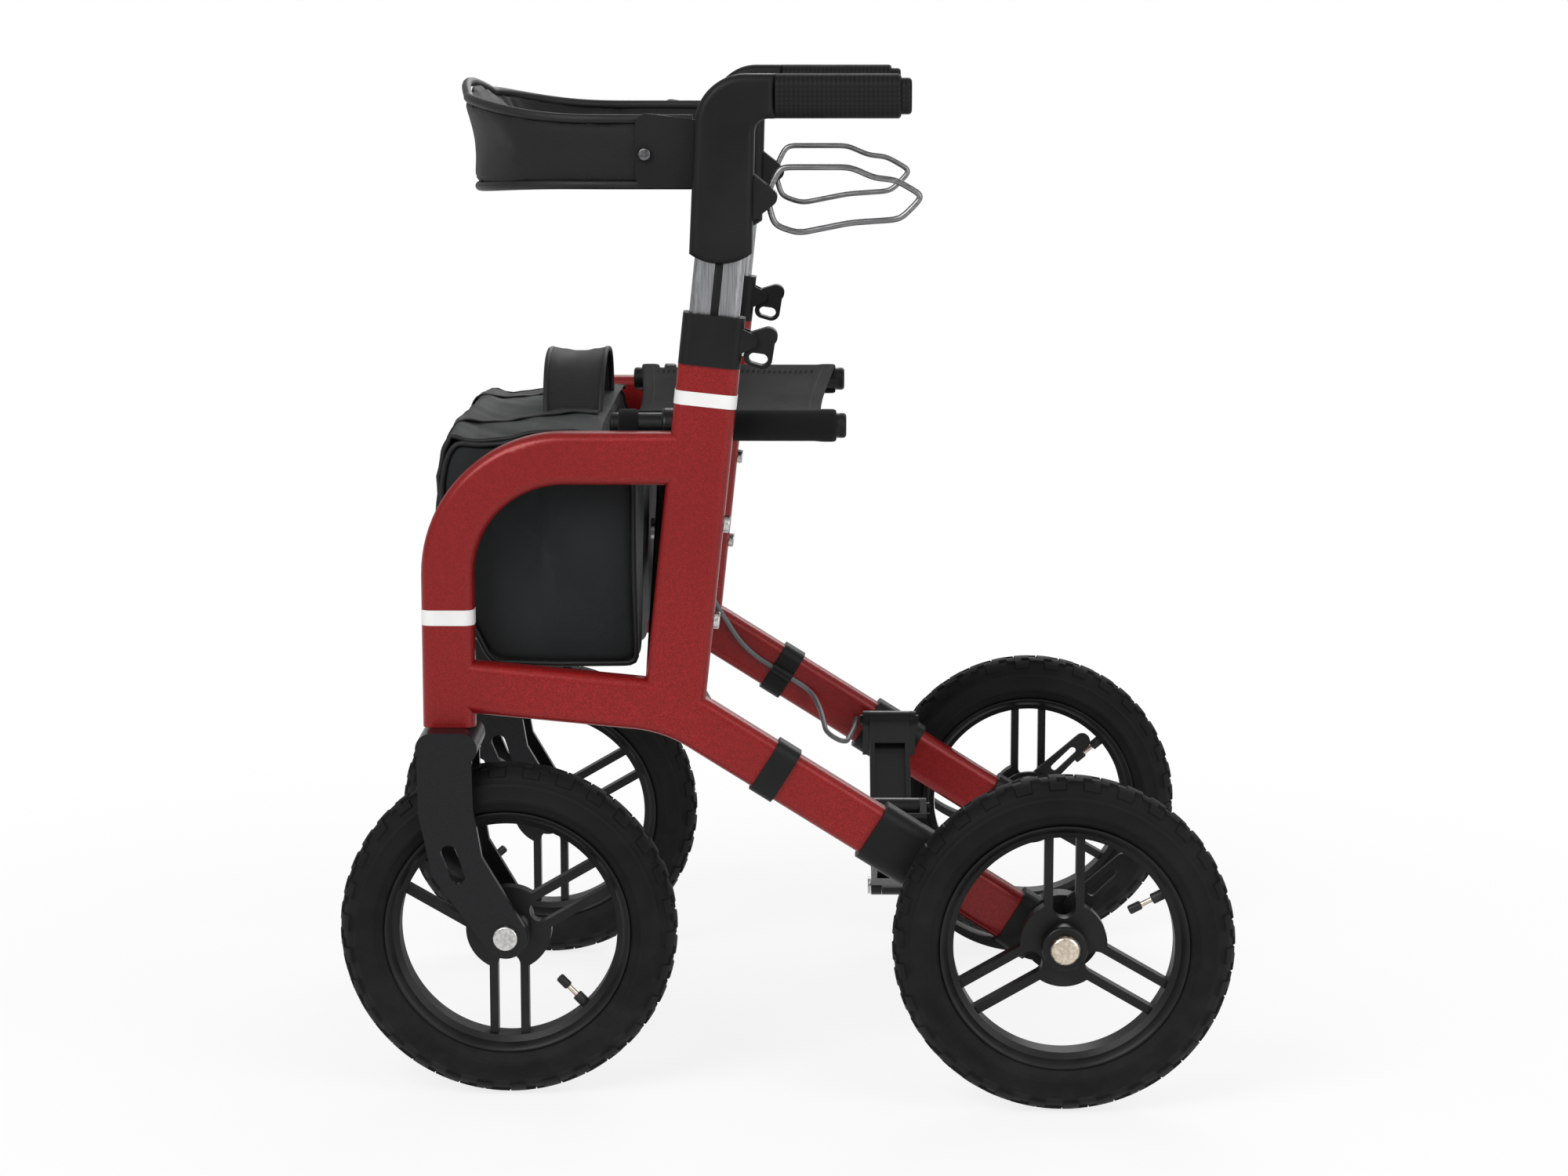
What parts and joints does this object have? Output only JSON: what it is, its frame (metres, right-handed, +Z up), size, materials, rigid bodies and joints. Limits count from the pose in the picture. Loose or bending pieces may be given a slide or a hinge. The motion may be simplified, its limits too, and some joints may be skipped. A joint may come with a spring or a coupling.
{
  "type": "all terrain rollator",
  "caption": "Folding outdoor walker on large air-filled wheels, with caster forks, seat, backrest band, bag, height-set handles and loop brake levers.",
  "frame": {"origin": "on the floor under the centre of the walker's box, midway between the axles", "axes": "+X the way the walker travels, +Y the user's left, +Z up"},
  "size_m": [0.7889, 0.6396, 0.9009],
  "materials": {
    "frame_paint": "satin",
    "arm_paint": "satin",
    "fork_paint": "satin",
    "casting_black": "matte",
    "black_plastic": "matte",
    "mast_aluminium": "satin",
    "rail_aluminium": "satin",
    "grip_rubber": "matte",
    "lever_steel": "satin",
    "axle_steel": "satin",
    "tyre_rubber": "matte",
    "wheel_plastic": "satin",
    "cable_sleeve": "satin",
    "seat_fabric": "woven",
    "backrest_fabric": "woven",
    "bag_fabric": "woven"
  },
  "bodies": {
    "left_frame": {"side_frame_left": "frame_paint", "column_collar_left": "black_plastic", "saddle_left": "black_plastic", "leg_clamp_left": "black_plastic", "leg_band_left": "black_plastic", "rear_axle_left": "axle_steel", "axle_housing_left": "casting_black", "brake_cable_left": "cable_sleeve", "pivot_bracket_left": "casting_black", "thread_inserts_left": "axle_steel", "bag": "bag_fabric"},
    "right_frame": {"side_frame_right": "frame_paint", "column_collar_right": "black_plastic", "saddle_right": "black_plastic", "leg_clamp_right": "black_plastic", "leg_band_right": "black_plastic", "rear_axle_right": "axle_steel", "axle_housing_right": "casting_black", "brake_cable_right": "cable_sleeve", "pivot_bracket_right": "casting_black", "thread_inserts_right": "axle_steel"},
    "arm_a": {"brace_arm_a": "arm_paint", "centre_pin": "axle_steel", "seat_rail_right": "rail_aluminium", "rail_caps_right": "black_plastic", "seat_panel_right": "seat_fabric"},
    "arm_b": {"brace_arm_b": "arm_paint", "seat_rail_left": "rail_aluminium", "rail_caps_left": "black_plastic", "seat_panel_left": "seat_fabric"},
    "rear_link_left": {"rear_link_left": "arm_paint", "knee_pin": "axle_steel"},
    "rear_link_right": {"rear_link_right": "arm_paint"},
    "handle_left": {"mast_left": "mast_aluminium", "handle_housing_left": "black_plastic", "grip_left": "grip_rubber", "backrest_bracket_left": "black_plastic", "backrest_band": "backrest_fabric"},
    "clamp_lever_left": {"clamp_lever_left": "black_plastic"},
    "brake_lever_left": {"brake_lever_left": "lever_steel"},
    "brake_arm_left": {"brake_arm_left": "casting_black"},
    "fork_left": {"fork_left": "fork_paint", "front_axle_left": "axle_steel"},
    "front_wheel_left": {"front_tyre_left": "tyre_rubber", "front_rim_left": "wheel_plastic"},
    "rear_wheel_left": {"rear_tyre_left": "tyre_rubber", "rear_rim_left": "wheel_plastic"},
    "handle_right": {"mast_right": "mast_aluminium", "handle_housing_right": "black_plastic", "grip_right": "grip_rubber", "backrest_bracket_right": "black_plastic"},
    "clamp_lever_right": {"clamp_lever_right": "black_plastic"},
    "brake_lever_right": {"brake_lever_right": "lever_steel"},
    "brake_arm_right": {"brake_arm_right": "casting_black"},
    "fork_right": {"fork_right": "fork_paint", "front_axle_right": "axle_steel"},
    "front_wheel_right": {"front_tyre_right": "tyre_rubber", "front_rim_right": "wheel_plastic"},
    "rear_wheel_right": {"rear_tyre_right": "tyre_rubber", "rear_rim_right": "wheel_plastic"}
  },
  "joints": [
    {"name": "fold", "type": "hinge", "parent": "left_frame", "child": "arm_a", "pos_m": [0.118, 0.2, 0.352], "axis": [-1, 0, 0], "range_deg": [0, 42], "deforming": ["seat_panel_left", "seat_panel_right", "backrest_band", "bag"]},
    {"name": "brace_cross", "type": "hinge", "parent": "arm_a", "child": "arm_b", "pos_m": [0.11, 0, 0.473], "axis": [1, 0, 0], "range_deg": [0, 84]},
    {"name": "right_foot", "type": "hinge", "parent": "arm_b", "child": "right_frame", "pos_m": [0.102, -0.2, 0.352], "axis": [-1, 0, 0], "range_deg": [0, 42]},
    {"name": "rear_link_fold_left", "type": "hinge", "parent": "left_frame", "child": "rear_link_left", "pos_m": [-0.1, 0.2, 0.25], "axis": [1, 0, 0], "range_deg": [0, 42]},
    {"name": "rear_link_fold_right", "type": "hinge", "parent": "right_frame", "child": "rear_link_right", "pos_m": [-0.1, -0.2, 0.25], "axis": [-1, 0, 0], "range_deg": [0, 42]},
    {"name": "handle_height", "type": "slide", "parent": "left_frame", "child": "handle_left", "axis": [-0.1054, 0, 0.9944], "range_m": [-0.035, 0.1]},
    {"name": "handle_height_right", "type": "slide", "parent": "right_frame", "child": "handle_right", "axis": [-0.1054, 0, 0.9944], "range_m": [-0.035, 0.1]},
    {"name": "clamp_lever_swing_left", "type": "hinge", "parent": "left_frame", "child": "clamp_lever_left", "pos_m": [0.02878, 0.24, 0.673], "axis": [0, 1, 0], "range_deg": [0, 50]},
    {"name": "brake_lever_pull_left", "type": "hinge", "parent": "handle_left", "child": "brake_lever_left", "pos_m": [0.014, 0.24, 0.796], "axis": [0, 1, 0], "range_deg": [-14, 20], "stiffness_Nm_per_rad": 2},
    {"name": "brake_arm_rock_left", "type": "hinge", "parent": "left_frame", "child": "brake_arm_left", "pos_m": [-0.2565, 0.2608, 0.176], "axis": [0, 1, 0], "range_deg": [-7, 10]},
    {"name": "caster_swivel_left", "type": "hinge", "parent": "left_frame", "child": "fork_left", "pos_m": [0.2945, 0.24, 0.333], "axis": [0, 0, 1], "continuous": true},
    {"name": "front_wheel_spin_left", "type": "hinge", "parent": "fork_left", "child": "front_wheel_left", "pos_m": [0.2445, 0.24, 0.15], "axis": [0, 1, 0], "continuous": true},
    {"name": "rear_wheel_spin_left", "type": "hinge", "parent": "left_frame", "child": "rear_wheel_left", "pos_m": [-0.2445, 0.288, 0.15], "axis": [0, 1, 0], "continuous": true},
    {"name": "clamp_lever_swing_right", "type": "hinge", "parent": "right_frame", "child": "clamp_lever_right", "pos_m": [0.02878, -0.24, 0.673], "axis": [0, 1, 0], "range_deg": [0, 50]},
    {"name": "brake_lever_pull_right", "type": "hinge", "parent": "handle_right", "child": "brake_lever_right", "pos_m": [0.014, -0.24, 0.796], "axis": [0, 1, 0], "range_deg": [-14, 20], "stiffness_Nm_per_rad": 2},
    {"name": "brake_arm_rock_right", "type": "hinge", "parent": "right_frame", "child": "brake_arm_right", "pos_m": [-0.2565, -0.2608, 0.176], "axis": [0, 1, 0], "range_deg": [-7, 10]},
    {"name": "caster_swivel_right", "type": "hinge", "parent": "right_frame", "child": "fork_right", "pos_m": [0.2945, -0.24, 0.333], "axis": [0, 0, -1], "continuous": true},
    {"name": "front_wheel_spin_right", "type": "hinge", "parent": "fork_right", "child": "front_wheel_right", "pos_m": [0.2445, -0.24, 0.15], "axis": [0, 1, 0], "continuous": true},
    {"name": "rear_wheel_spin_right", "type": "hinge", "parent": "right_frame", "child": "rear_wheel_right", "pos_m": [-0.2445, -0.288, 0.15], "axis": [0, 1, 0], "continuous": true}
  ],
  "couplings": [
    {"joint": "brace_cross", "follows": "fold", "ratio": 2},
    {"joint": "right_foot", "follows": "fold", "ratio": 1},
    {"joint": "rear_link_fold_left", "follows": "fold", "ratio": 1},
    {"joint": "rear_link_fold_right", "follows": "fold", "ratio": 1},
    {"joint": "handle_height_right", "follows": "handle_height", "ratio": 1},
    {"joint": "brake_arm_rock_left", "follows": "brake_lever_pull_left", "ratio": 0.5},
    {"joint": "brake_arm_rock_right", "follows": "brake_lever_pull_right", "ratio": 0.5}
  ]
}
